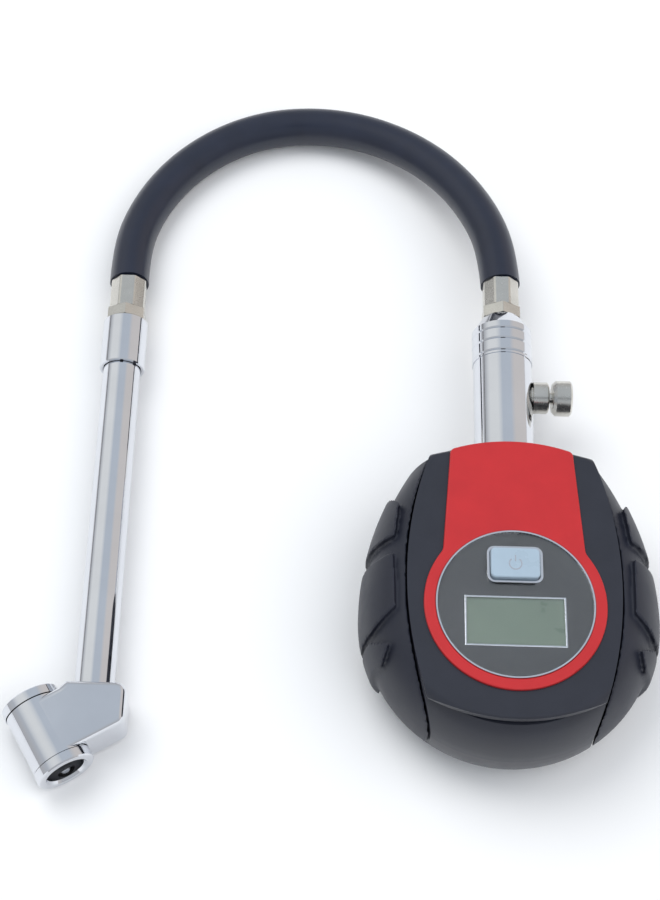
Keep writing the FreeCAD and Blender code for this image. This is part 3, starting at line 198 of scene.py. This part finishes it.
class GaugeColours(bpy.types.PropertyGroup):
    """Colours of the visible finishes."""

    housing: FloatVectorProperty(
        name="Housing", description="Blue-black moulded plastic", subtype="COLOR", default=(0.017, 0.019, 0.029)
    )
    grip: FloatVectorProperty(
        name="Grip", description="Blue-black rubber", subtype="COLOR", default=(0.015, 0.017, 0.028)
    )
    bezel: FloatVectorProperty(
        name="Bezel", description="Red moulded plastic", subtype="COLOR", default=(0.50, 0.014, 0.017)
    )
    chrome: FloatVectorProperty(
        name="Chrome", description="Polished chrome plate", subtype="COLOR", default=(0.72, 0.735, 0.77)
    )
    nickel: FloatVectorProperty(
        name="Nickel", description="Warm nickel plate", subtype="COLOR", default=(0.66, 0.64, 0.59)
    )
    mask: FloatVectorProperty(
        name="Display panel", description="Dark grey print", subtype="COLOR", default=(0.072, 0.078, 0.086)
    )
    crystal: FloatVectorProperty(
        name="Display glass",
        description="Grey-green liquid crystal",
        subtype="COLOR",
        default=(0.22, 0.29, 0.23),
    )
    button: FloatVectorProperty(
        name="Button", description="Pale blue-silver button", subtype="COLOR", default=(0.36, 0.46, 0.55)
    )
    hose: FloatVectorProperty(
        name="Hose", description="Dark hose rubber", subtype="COLOR", default=(0.011, 0.015, 0.031)
    )


# ---------------------------------------------------------------- materials


def colour_of(name):
    """One of the scene's colours, with full alpha."""
    return (*getattr(bpy.context.scene.gauge_colours, name), 1.0)


def shades(colour, spread):
    """A darker and a lighter neighbour of a colour."""
    dark = tuple(channel * (1 - spread) for channel in colour[:3])
    light = tuple(min(1.0, channel * (1 + spread)) for channel in colour[:3])
    return (*dark, 1.0), (*light, 1.0)


class Finish:
    """A material under construction: its node tree and its principled shader."""

    def __init__(self, name):
        self.material = bpy.data.materials.new(name)
        self.material.use_nodes = True
        self.tree = self.material.node_tree
        self.shader = self.tree.nodes["Principled BSDF"]
        self.place = self.node("ShaderNodeTexCoord").outputs["Object"]

    def node(self, kind, **settings):
        made = self.tree.nodes.new(kind)
        for name, value in settings.items():
            setattr(made, name, value)
        return made

    def link(self, source, target):
        self.tree.links.new(source, target)

    def noise(self, scale, detail=3.0, roughness=0.5):
        """Noise of a given scale, in repeats per metre."""
        made = self.node("ShaderNodeTexNoise")
        made.inputs["Scale"].default_value = scale
        made.inputs["Detail"].default_value = detail
        made.inputs["Roughness"].default_value = roughness
        self.link(self.place, made.inputs["Vector"])
        return made.outputs["Fac"]

    def ramp(self, factor, low, high):
        """Colours from low to high over the middle of the factor's range."""
        made = self.node("ShaderNodeValToRGB")
        made.color_ramp.elements[0].position = NOISE_LOW
        made.color_ramp.elements[0].color = low
        made.color_ramp.elements[1].position = NOISE_HIGH
        made.color_ramp.elements[1].color = high
        self.link(factor, made.inputs["Fac"])
        return made.outputs["Color"]

    def span(self, factor, low, high):
        """Values from low to high over the middle of the factor's range."""
        made = self.node("ShaderNodeMapRange")
        made.inputs["From Min"].default_value = NOISE_LOW
        made.inputs["From Max"].default_value = NOISE_HIGH
        made.inputs["To Min"].default_value = low
        made.inputs["To Max"].default_value = high
        self.link(factor, made.inputs["Value"])
        return made.outputs["Result"]

    def bump(self, height, strength, distance):
        """Small relief on the surface."""
        made = self.node("ShaderNodeBump")
        made.inputs["Strength"].default_value = strength
        made.inputs["Distance"].default_value = distance
        self.link(height, made.inputs["Height"])
        self.link(made.outputs["Normal"], self.shader.inputs["Normal"])

    def set(self, **values):
        """Constant values on the shader's own sockets."""
        for name, value in values.items():
            self.shader.inputs[name.replace("_", " ")].default_value = value


def moulded(name, colour, roughness, grain_scale, grain_depth, coat=0.0, spread=0.10, gloss_spread=0.05):
    """Moulded plastic or rubber with a fine grain, cloudy colour and uneven gloss."""
    finish = Finish(name)
    cloud = finish.noise(scale=90.0, detail=4.0, roughness=0.6)
    grain = finish.noise(grain_scale, detail=2.0, roughness=0.55)
    dark, light = shades(colour, spread)
    finish.link(finish.ramp(cloud, dark, light), finish.shader.inputs["Base Color"])
    gloss = finish.span(cloud, roughness - gloss_spread, roughness + gloss_spread)
    finish.link(gloss, finish.shader.inputs["Roughness"])
    finish.bump(grain, strength=0.35, distance=grain_depth)
    finish.set(Coat_Weight=coat, Coat_Roughness=0.25)
    return finish.material


def plated(name, colour, roughness, haze=0.02, spread=0.03):
    """Polished plating with faint haze and soft ripples."""
    finish = Finish(name)
    cloud = finish.noise(scale=60.0, detail=3.0, roughness=0.55)
    fine = finish.noise(scale=700.0, detail=2.0, roughness=0.5)
    dark, light = shades(colour, spread)
    finish.link(finish.ramp(cloud, dark, light), finish.shader.inputs["Base Color"])
    finish.link(finish.span(fine, roughness, roughness + haze), finish.shader.inputs["Roughness"])
    finish.bump(cloud, strength=0.10, distance=0.00003)
    finish.set(Metallic=1.0)
    return finish.material


def machined(name, colour, roughness, spread=0.08):
    """Metal with fine tool marks."""
    finish = Finish(name)
    marks = finish.noise(scale=900.0, detail=2.0, roughness=0.6)
    cloud = finish.noise(scale=120.0, detail=3.0, roughness=0.5)
    dark, light = shades(colour, spread)
    finish.link(finish.ramp(cloud, dark, light), finish.shader.inputs["Base Color"])
    finish.link(finish.span(marks, roughness - 0.02, roughness + 0.04), finish.shader.inputs["Roughness"])
    finish.bump(marks, strength=0.10, distance=0.000008)
    finish.set(Metallic=1.0)
    return finish.material


def clear(name):
    """Clear acrylic with very faint waviness."""
    finish = Finish(name)
    wave = finish.noise(scale=40.0, detail=1.0, roughness=0.4)
    dust = finish.noise(scale=900.0, detail=2.0, roughness=0.6)
    tint = finish.ramp(wave, (0.97, 0.98, 0.98, 1.0), (1.0, 1.0, 1.0, 1.0))
    finish.link(tint, finish.shader.inputs["Base Color"])
    finish.link(finish.span(dust, low=0.0, high=0.03), finish.shader.inputs["Roughness"])
    finish.bump(wave, strength=0.02, distance=0.00002)
    finish.set(Transmission_Weight=1.0, IOR=1.45)
    return finish.material


def make_finishes():
    """Every finish that the gauge uses, by the record's slot names."""
    # Name, colour, roughness, grain's repeats per metre and depth in metres, clear coat, colour spread.
    moulds = {
        "housing": ("blue_black_plastic", colour_of("housing"), 0.40, 2600.0, 0.00003, 0.15),
        "grip_rubber": ("blue_black_rubber", colour_of("grip"), 0.48, 1900.0, 0.00005),
        "bezel_red": ("red_plastic", colour_of("bezel"), 0.33, 3000.0, 0.00002, 0.2, 0.05),
        "mask_grey": ("panel_print", colour_of("mask"), 0.45, 4000.0, 0.00001, 0.0, 0.06),
        "display_glass": ("liquid_crystal", colour_of("crystal"), 0.30, 5000.0, 0.000004, 0.3, 0.05),
        "button_silver": ("button_plate", colour_of("button"), 0.28, 4000.0, 0.00001, 0.4, 0.05),
        "hose_rubber": ("hose_rubber", colour_of("hose"), 0.36, 1500.0, 0.00005, 0.1, 0.15),
        "seal_rubber": ("seal_rubber", SEAL_BLACK, 0.55, 1500.0, 0.00005),
        "board_green": ("board_laminate", BOARD_GREEN, 0.38, 600.0, 0.00003, 0.3, 0.3),
        "component_black": ("component_plastic", COMPONENT_BLACK, 0.5, 2200.0, 0.00004),
        "silicone": ("clear_silicone", SILICONE, 0.5, 1200.0, 0.00003),
    }
    finishes = {slot: moulded(*settings) for slot, settings in moulds.items()}
    finishes["chrome"] = plated("chrome_plate", colour_of("chrome"), roughness=0.05)
    finishes["nickel"] = machined("nickel_plate", colour_of("nickel"), roughness=0.24)
    finishes["steel"] = machined("plain_steel", STEEL, roughness=0.30)
    finishes["brass"] = machined("turned_brass", BRASS, roughness=0.28)
    finishes["lens_clear"] = clear("clear_acrylic")
    return finishes


def finish_of(slot):
    """The finish of a slot, made once."""
    if not FINISHES:
        FINISHES.update(make_finishes())
    return FINISHES[slot]


FINISHES = {}


# ---------------------------------------------------------------- modelling helpers


def only(piece):
    """Select one piece and nothing else."""
    bpy.ops.object.select_all(action="DESELECT")
    piece.select_set(True)
    bpy.context.view_layer.objects.active = piece


def merged_copy(node, name):
    """A new piece with a frame node's surface, its loose triangles joined."""
    piece = bpy.data.objects.new(name, frame["nodes"][node].data.copy())
    bpy.context.scene.collection.objects.link(piece)
    piece.data.materials.clear()
    only(piece)
    bpy.ops.object.mode_set(mode="EDIT")
    bpy.ops.mesh.select_all(action="SELECT")
    bpy.ops.mesh.remove_doubles(threshold=MERGE_DISTANCE)
    bpy.ops.mesh.customdata_custom_splitnormals_clear()
    bpy.ops.mesh.dissolve_limited(angle_limit=math.radians(FLAT_ANGLE))
    bpy.ops.object.mode_set(mode="OBJECT")
    return piece


def apply_modifiers(piece):
    """Apply every modifier of a piece, in order."""
    only(piece)
    for modifier in list(piece.modifiers):
        bpy.ops.object.modifier_apply(modifier=modifier.name)


def soften_edges(piece, width, angle):
    """Round the sharp edges of a piece."""
    bevel = piece.modifiers.new("soft_edges", "BEVEL")
    bevel.width = width
    bevel.segments = 2
    bevel.limit_method = "ANGLE"
    bevel.angle_limit = math.radians(angle)
    apply_modifiers(piece)


def smooth(piece, angle):
    """Smooth shading, with edges sharper than the angle kept."""
    only(piece)
    bpy.ops.object.shade_smooth_by_angle(angle=math.radians(angle))
    even = piece.modifiers.new("even_shading", "WEIGHTED_NORMAL")
    even.keep_sharp = True
    apply_modifiers(piece)


def pick(piece, kind, wanted):
    """In edit mode, select only the points (VERT) or edges (EDGE) whose places pass a test."""
    only(piece)
    bpy.ops.object.mode_set(mode="EDIT")
    bpy.ops.mesh.select_mode(type=kind)
    bpy.ops.mesh.select_all(action="DESELECT")
    bpy.ops.object.mode_set(mode="OBJECT")
    corners = piece.data.vertices
    if kind == "VERT":
        for corner in corners:
            corner.select = wanted(corner.co)
    else:
        for edge in piece.data.edges:
            edge.select = wanted(*(corners[index].co for index in edge.vertices))
    bpy.ops.object.mode_set(mode="EDIT")


def settle(piece, body, slot, *nodes):
    """Give a finished piece its material and body, and let it stand for frame nodes."""
    piece.data.materials.clear()
    piece.data.materials.append(finish_of(slot))
    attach(piece, body)
    if nodes:
        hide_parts(*nodes)


def body_of(node):
    """The body that a frame node rides on."""
    for body, members in frame["record"]["behaviour"]["bodies"].items():
        if node in members:
            return body
    raise RuntimeError("no body holds " + node)


def slot_of(node):
    """The record's material slot of a frame node."""
    for part in frame["record"]["subparts"]:
        if part["node"] == node:
            return part["material_slot"]
    raise RuntimeError("no slot for " + node)


def restyle(node, name, angle, bevel=0.0):
    """A smooth, softly edged piece in place of a frame node."""
    piece = merged_copy(node, name)
    if bevel:
        soften_edges(piece, bevel, angle)
    smooth(piece, angle)
    settle(piece, body_of(node), slot_of(node), node)
    return piece


# ---------------------------------------------------------------- pieces


class GAUGE_OT_stage(bpy.types.Operator):
    """Add the camera, the soft studio light and the pale floor"""

    bl_idname = "gauge.stage"
    bl_label = "Stage"

    def execute(self, context):
        self.add_camera(context)
        self.add_floor()
        self.add_lights()
        self.add_surroundings(context)
        context.scene.view_settings.view_transform = "Standard"
        return {"FINISHED"}

    def add_camera(self, context):
        bpy.ops.object.camera_add(location=(0, 0, 0))
        camera = context.object
        camera.name = "camera"
        turn = Matrix.Rotation(math.radians(CAMERA_TURN), 4, "Z")
        tilt = Matrix.Rotation(math.radians(CAMERA_TILT), 4, "X")
        roll = Matrix.Rotation(math.radians(CAMERA_ROLL), 4, "Z")
        place = Matrix.Translation(CAMERA_PLACE)
        camera.matrix_world = place @ turn @ tilt @ roll
        camera.data.lens = CAMERA_LENS
        camera.data.sensor_width = SENSOR_WIDTH
        context.scene.camera = camera

    def add_floor(self):
        bpy.ops.mesh.primitive_plane_add(size=FLOOR_SIZE, location=STAGE_CENTRE)
        floor = bpy.context.object
        floor.name = "floor"
        finish = Finish("pale_floor")
        pale = finish.ramp(finish.noise(scale=3.0), FLOOR_DARK, FLOOR_LIGHT)
        finish.link(pale, finish.shader.inputs["Base Color"])
        finish.set(Roughness=0.8)
        floor.data.materials.append(finish.material)

    def add_lights(self):
        aim = Vector(STAGE_CENTRE)
        for name, place, size, power in LIGHT_RIG:
            bpy.ops.object.light_add(type="AREA", location=place)
            light = bpy.context.object
            light.name = name
            light.data.shape = "DISK"
            light.data.size = size
            light.data.energy = power
            light.visible_glossy = False
            light.rotation_euler = (Vector(place) - aim).to_track_quat("Z", "Y").to_euler()

    def add_surroundings(self, context):
        """A pale room: a window, a warm wall, a short dark rail and a camera's dark front."""
        world = bpy.data.worlds.new("white_room")
        world.use_nodes = True
        context.scene.world = world
        tree = world.node_tree
        background = tree.nodes["Background"]
        background.inputs["Strength"].default_value = ROOM_STRENGTH
        place = tree.nodes.new("ShaderNodeTexCoord").outputs["Generated"]

        def facing(direction, start, end):
            """A factor that rises from 0 to 1 as the view turns to a direction."""
            aside = tree.nodes.new("ShaderNodeVectorMath")
            aside.operation = "DOT_PRODUCT"
            aside.inputs[1].default_value = direction
            tree.links.new(place, aside.inputs[0])
            rise = tree.nodes.new("ShaderNodeMapRange")
            rise.inputs["From Min"].default_value = start
            rise.inputs["From Max"].default_value = end
            tree.links.new(aside.outputs["Value"], rise.inputs["Value"])
            return rise.outputs["Result"]

        def combined(operation, first, second):
            made = tree.nodes.new("ShaderNodeMath")
            made.operation = operation
            tree.links.new(first, made.inputs[0])
            tree.links.new(second, made.inputs[1])
            return made.outputs["Value"]

        lens = facing(TO_CAMERA_FRONT, start=0.986, end=0.991)
        above = facing(UPWARDS, start=0.095, end=0.105)
        below = facing(UPWARDS, start=0.145, end=0.130)
        aside = facing(TO_RAIL, start=0.980, end=0.990)
        rail = combined("MULTIPLY", combined("MULTIPLY", above, below), aside)
        dark = combined("MAXIMUM", lens, rail)
        window = facing(TO_WINDOW, start=0.84, end=0.95)
        right_wall = facing(TO_WARM_WALL, start=0.62, end=0.80)

        def tinted(factor, under, colour):
            """A colour, or what another node gives, turned into a second colour by a factor."""
            made = tree.nodes.new("ShaderNodeMixRGB")
            tree.links.new(factor, made.inputs["Fac"])
            if isinstance(under, tuple):
                made.inputs["Color1"].default_value = under
            else:
                tree.links.new(under, made.inputs["Color1"])
            made.inputs["Color2"].default_value = colour
            return made.outputs["Color"]

        room = facing(UPWARDS, start=0.15, end=0.75)
        walls = tinted(room, WALL_LOW, WALL_HIGH)
        walls = tinted(right_wall, walls, WARM_WALL)
        lit = tinted(window, walls, WINDOW_LIGHT)
        shaded = tinted(dark, lit, ROOM_DARK)
        tree.links.new(shaded, background.inputs["Color"])


class GAUGE_OT_hose(bpy.types.Operator):
    """Lay the rubber hose from the gauge's ferrule to the wand's"""

    bl_idname = "gauge.hose"
    bl_label = "Hose"

    def execute(self, context):
        radius = context.scene.gauge_sizes.hose_radius
        curve = bpy.data.curves.new("rubber_hose", "CURVE")
        curve.dimensions = "3D"
        spline = curve.splines.new("NURBS")
        spline.points.add(len(HOSE_ROUTE) - 1)
        for point, place in zip(spline.points, HOSE_ROUTE):
            point.co = (*place, 1.0)
        spline.order_u = 3
        spline.use_endpoint_u = True
        spline.resolution_u = 16
        curve.bevel_depth = radius
        curve.bevel_resolution = 12
        curve.use_fill_caps = True
        hose = bpy.data.objects.new("rubber_hose", curve)
        context.scene.collection.objects.link(hose)
        settle(hose, "hose_assembly", "hose_rubber", "hose")
        return {"FINISHED"}


class GAUGE_OT_housing(bpy.types.Operator):
    """Finish the two shells, the red bezel and the chrome ring"""

    bl_idname = "gauge.housing"
    bl_label = "Housing"

    def execute(self, context):
        restyle("front_shell", "front_moulding", SHELL_ANGLE)
        restyle("rear_shell", "rear_moulding", SHELL_ANGLE)
        restyle("bezel", "red_bezel", EDGE_ANGLE)
        restyle("lens_trim_ring", "chrome_ring", EDGE_ANGLE)
        return {"FINISHED"}


class GAUGE_OT_grips(bpy.types.Operator):
    """Mould the two rubber grips with soft tread edges"""

    bl_idname = "gauge.grips"
    bl_label = "Grips"

    def execute(self, context):
        voxel = context.scene.gauge_sizes.grip_voxel
        for side in ("left", "right"):
            piece = merged_copy(side + "_grip", side + "_rubber_grip")
            remesh = piece.modifiers.new("even_mesh", "REMESH")
            remesh.mode = "VOXEL"
            remesh.voxel_size = voxel
            soft = piece.modifiers.new("soft_rubber", "SMOOTH")
            soft.factor = 0.5
            soft.iterations = 3
            apply_modifiers(piece)
            smooth(piece, SOFT_ANGLE)
            settle(piece, "gauge", "grip_rubber", side + "_grip")
        return {"FINISHED"}


class GAUGE_OT_metalwork(bpy.types.Operator):
    """Finish the stem, the wand, the chuck and the bleed valve"""

    bl_idname = "gauge.metalwork"
    bl_label = "Metalwork"

    def execute(self, context):
        gauge_chrome = ("stem", "stem_cap")
        wand_chrome = ("wand_tube", "wand_collar", "front_foot_cap", "rear_foot_cap", "chuck_body")
        for node in (*gauge_chrome, *wand_chrome):
            restyle(node, "chrome_" + node, METAL_ANGLE)
        for node in ("bleed_boss", "bleed_button"):
            restyle(node, "nickel_" + node, METAL_ANGLE)
        for node in ("gauge_tail", "wand_tail"):
            restyle(node, "nickel_" + node, EDGE_ANGLE, context.scene.gauge_sizes.nut_bevel)
        return {"FINISHED"}


class GAUGE_OT_ferrules(bpy.types.Operator):
    """Make the two crimped ferrules, with flats all round"""

    bl_idname = "gauge.ferrules"
    bl_label = "Ferrules"

    def execute(self, context):
        for node in ("gauge_ferrule", "wand_ferrule"):
            self.crimp(node, context.scene.gauge_sizes)
        return {"FINISHED"}

    def crimp(self, node, sizes):
        low, high = (Vector(corner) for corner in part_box(node))
        length = high.y - low.y
        bpy.ops.object.select_all(action="DESELECT")
        bpy.ops.mesh.primitive_cylinder_add(
            vertices=FERRULE_FLATS,
            radius=(high.x - low.x) / 2,
            depth=length,
            end_fill_type="NOTHING",
            location=(low + high) / 2,
            rotation=(math.radians(90), math.pi / FERRULE_FLATS, 0.0),
        )
        piece = bpy.context.object
        piece.name = "crimped_" + node
        bpy.ops.object.transform_apply(location=True, rotation=True, scale=True)
        pick(piece, "EDGE", lambda first, second: abs(first.y - second.y) > length / 2)
        bpy.ops.mesh.bevel(offset=sizes.crimp_ridge, segments=RIDGE_SEGMENTS, affect="EDGES")
        bpy.ops.mesh.select_all(action="SELECT")
        bpy.ops.mesh.normals_make_consistent(inside=False)
        bpy.ops.object.mode_set(mode="OBJECT")
        wall = piece.modifiers.new("wall", "SOLIDIFY")
        wall.thickness = sizes.ferrule_wall
        wall.offset = -1.0
        apply_modifiers(piece)
        soften_edges(piece, sizes.edge_bevel, FLANK_ANGLE)
        smooth(piece, ROUND_ANGLE)
        settle(piece, body_of(node), slot_of(node), node)


class GAUGE_OT_display(bpy.types.Operator):
    """Finish the display and the power button"""

    bl_idname = "gauge.display"
    bl_label = "Display and button"

    def execute(self, context):
        sizes = context.scene.gauge_sizes
        restyle("button_frame", "chrome_button_frame", EDGE_ANGLE, sizes.edge_bevel)
        restyle("power_button", "silver_power_button", EDGE_ANGLE)
        restyle("display_frame", "silver_display_frame", EDGE_ANGLE, sizes.frame_bevel)
        self.seat_lens(sizes.lens_gap)
        self.print_symbol(sizes)
        return {"FINISHED"}

    def seat_lens(self, gap):
        """The clear lens, its underside a hair above the printed panel."""
        piece = merged_copy("lens_window", "clear_lens")
        low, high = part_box("lens_window")
        middle = (low.z + high.z) / 2
        pick(piece, "VERT", lambda place: place.z < middle)
        bpy.ops.transform.translate(value=(0.0, 0.0, gap))
        bpy.ops.object.mode_set(mode="OBJECT")
        smooth(piece, EDGE_ANGLE)
        settle(piece, body_of("lens_window"), slot_of("lens_window"), "lens_window")

    def print_symbol(self, sizes):
        """The plain power symbol: an open ring and a bar, printed on the button."""
        low, high = (Vector(corner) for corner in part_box("power_button"))
        radius = sizes.symbol_radius
        line = sizes.symbol_line
        centre = (low + high) / 2
        centre.y -= radius / 4
        centre.z = high.z - line / 2 + sizes.print_height
        start = math.pi / 2 + SYMBOL_HALF_GAP
        bpy.ops.object.select_all(action="DESELECT")
        bpy.ops.mesh.primitive_plane_add(
            size=line,
            location=centre + Vector((math.cos(start), math.sin(start), 0.0)) * radius,
            rotation=(math.pi / 2, 0.0, start),
        )
        ring = bpy.context.object
        ring.name = "power_symbol"
        bpy.ops.object.transform_apply(location=True, rotation=True, scale=True)
        bpy.ops.object.mode_set(mode="EDIT")
        bpy.ops.mesh.select_all(action="SELECT")
        sweep = 2 * (math.pi - SYMBOL_HALF_GAP)
        bpy.ops.mesh.spin(steps=SYMBOL_STEPS, angle=-sweep, center=centre, axis=UPWARDS)
        bpy.ops.object.mode_set(mode="OBJECT")
        bpy.ops.object.select_all(action="DESELECT")
        bar_place = centre + Vector((0.0, radius * BAR_RISE, 0.0))
        bpy.ops.mesh.primitive_cube_add(
            size=1.0, location=bar_place, scale=(line, radius * BAR_LENGTH, line)
        )
        ring.select_set(True)
        bpy.context.view_layer.objects.active = ring
        bpy.ops.object.join()
        bpy.ops.object.mode_set(mode="EDIT")
        bpy.ops.mesh.select_all(action="SELECT")
        bpy.ops.mesh.remove_doubles(threshold=JOIN_DISTANCE)
        bpy.ops.mesh.normals_make_consistent(inside=False)
        bpy.ops.object.mode_set(mode="OBJECT")
        smooth(ring, ROUND_ANGLE)
        settle(ring, body_of("power_button"), slot_of("stem"))


class GAUGE_OT_springs(bpy.types.Operator):
    """Finish the three springs, each on a mesh of its own"""

    bl_idname = "gauge.springs"
    bl_label = "Springs"

    def execute(self, context):
        for node, name in SPRINGS:
            piece = restyle(node, "steel_" + node, SOFT_ANGLE)
            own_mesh(piece)
        return {"FINISHED"}


class GAUGE_OT_insides(bpy.types.Operator):
    """Give every other frame node its finish"""

    bl_idname = "gauge.insides"
    bl_label = "Insides"

    def execute(self, context):
        for name, node in frame["nodes"].items():
            if not node.hide_render:
                node.data.materials.clear()
                node.data.materials.append(finish_of(slot_of(name)))
        return {"FINISHED"}


class GAUGE_PT_pieces(bpy.types.Panel):
    """The gauge's sizes, colours and pieces"""

    bl_idname = "GAUGE_PT_pieces"
    bl_label = "Tire Pressure Gauge"
    bl_space_type = "VIEW_3D"
    bl_region_type = "UI"
    bl_category = "Gauge"

    def draw(self, context):
        for group in (context.scene.gauge_sizes, context.scene.gauge_colours):
            for name in group.__annotations__:
                self.layout.prop(group, name)
        for operator in OPERATORS:
            self.layout.operator(operator.bl_idname)


OPERATORS = (
    GAUGE_OT_stage,
    GAUGE_OT_hose,
    GAUGE_OT_housing,
    GAUGE_OT_grips,
    GAUGE_OT_metalwork,
    GAUGE_OT_ferrules,
    GAUGE_OT_display,
    GAUGE_OT_springs,
    GAUGE_OT_insides,
)
CLASSES = (GaugeSizes, GaugeColours, *OPERATORS, GAUGE_PT_pieces)


def register():
    for item in CLASSES:
        bpy.utils.register_class(item)
    bpy.types.Scene.gauge_sizes = PointerProperty(type=GaugeSizes)
    bpy.types.Scene.gauge_colours = PointerProperty(type=GaugeColours)


def unregister():
    del bpy.types.Scene.gauge_colours
    del bpy.types.Scene.gauge_sizes
    for item in reversed(CLASSES):
        bpy.utils.unregister_class(item)


def main():
    """Build the whole gauge, one operator after another."""
    register()
    bpy.ops.gauge.stage()
    bpy.ops.gauge.hose()
    bpy.ops.gauge.housing()
    bpy.ops.gauge.grips()
    bpy.ops.gauge.metalwork()
    bpy.ops.gauge.ferrules()
    bpy.ops.gauge.display()
    bpy.ops.gauge.springs()
    bpy.ops.gauge.insides()


if __name__ == "__main__":
    main()
